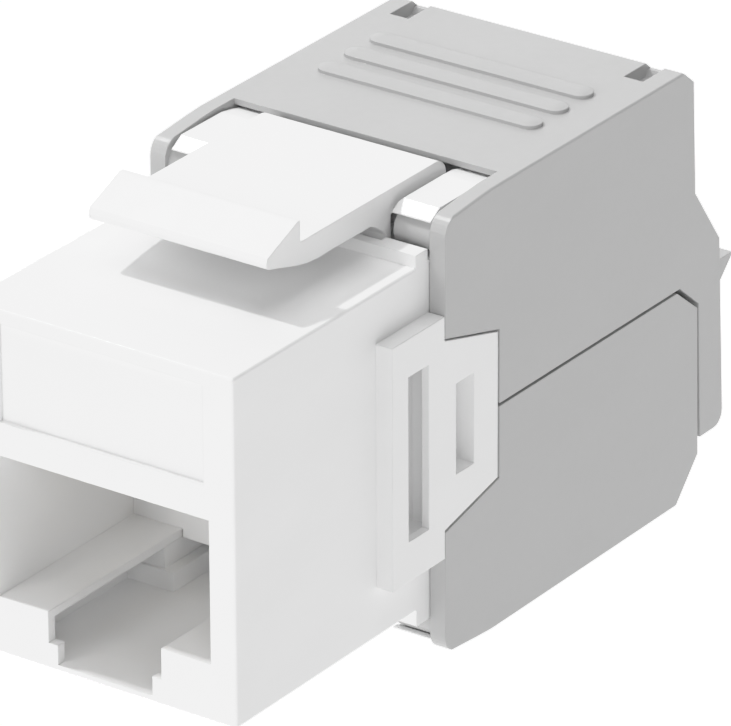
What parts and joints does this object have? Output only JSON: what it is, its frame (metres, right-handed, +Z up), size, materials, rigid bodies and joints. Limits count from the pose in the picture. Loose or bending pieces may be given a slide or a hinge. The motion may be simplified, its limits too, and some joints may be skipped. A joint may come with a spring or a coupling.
{
  "type": "keystone jack",
  "caption": "Tool-free keystone data jack: modular plug port with side stops and a spring latch in front, two hinged covers that press the wires home behind.",
  "frame": {"origin": "centre of the plug port's mouth, on the front face", "axes": "+Y from the port's mouth towards the cable outlet, +Z up towards the spring latch, +X to the right seen from the plug side"},
  "size_m": [0.0164, 0.0395, 0.0235],
  "materials": {
    "housing_white": "satin moulded",
    "latch_white": "satin moulded",
    "cover_grey": "fine satin moulded",
    "carrier_white": "moulded",
    "idc_white": "moulded",
    "board_green": "solder mask",
    "contact_gold": "gold plated",
    "terminal_tin": "tin plated"
  },
  "bodies": {
    "housing": {"front_housing": "housing_white", "contact_carrier": "carrier_white", "circuit_board": "board_green", "idc_block_upper": "idc_white", "idc_block_lower": "idc_white", "spring_contact_1": "contact_gold", "spring_contact_2": "contact_gold", "spring_contact_3": "contact_gold", "spring_contact_4": "contact_gold", "spring_contact_5": "contact_gold", "spring_contact_6": "contact_gold", "spring_contact_7": "contact_gold", "spring_contact_8": "contact_gold", "idc_terminal_1": "terminal_tin", "idc_terminal_2": "terminal_tin", "idc_terminal_3": "terminal_tin", "idc_terminal_4": "terminal_tin", "idc_terminal_5": "terminal_tin", "idc_terminal_6": "terminal_tin", "idc_terminal_7": "terminal_tin", "idc_terminal_8": "terminal_tin"},
    "latch": {"keystone_latch": "latch_white"},
    "cover_top": {"upper_cover": "cover_grey"},
    "cover_bottom": {"lower_cover": "cover_grey"}
  },
  "joints": [
    {"name": "upper_cover_hinge", "type": "hinge", "parent": "housing", "child": "cover_top", "pos_m": [0, 0.01595, 0.01165], "axis": [1, 0, 0], "range_deg": [0, 95]},
    {"name": "lower_cover_hinge", "type": "hinge", "parent": "housing", "child": "cover_bottom", "pos_m": [0, 0.01595, -0.00751], "axis": [-1, 0, 0], "range_deg": [0, 95]},
    {"name": "latch_press", "type": "hinge", "parent": "housing", "child": "latch", "pos_m": [0, 0.0172, 0.01124], "axis": [1, 0, 0], "range_deg": [0, 7.5], "stiffness_Nm_per_rad": 0.3}
  ],
  "couplings": [
    {"joint": "lower_cover_hinge", "follows": "upper_cover_hinge", "ratio": 1}
  ]
}
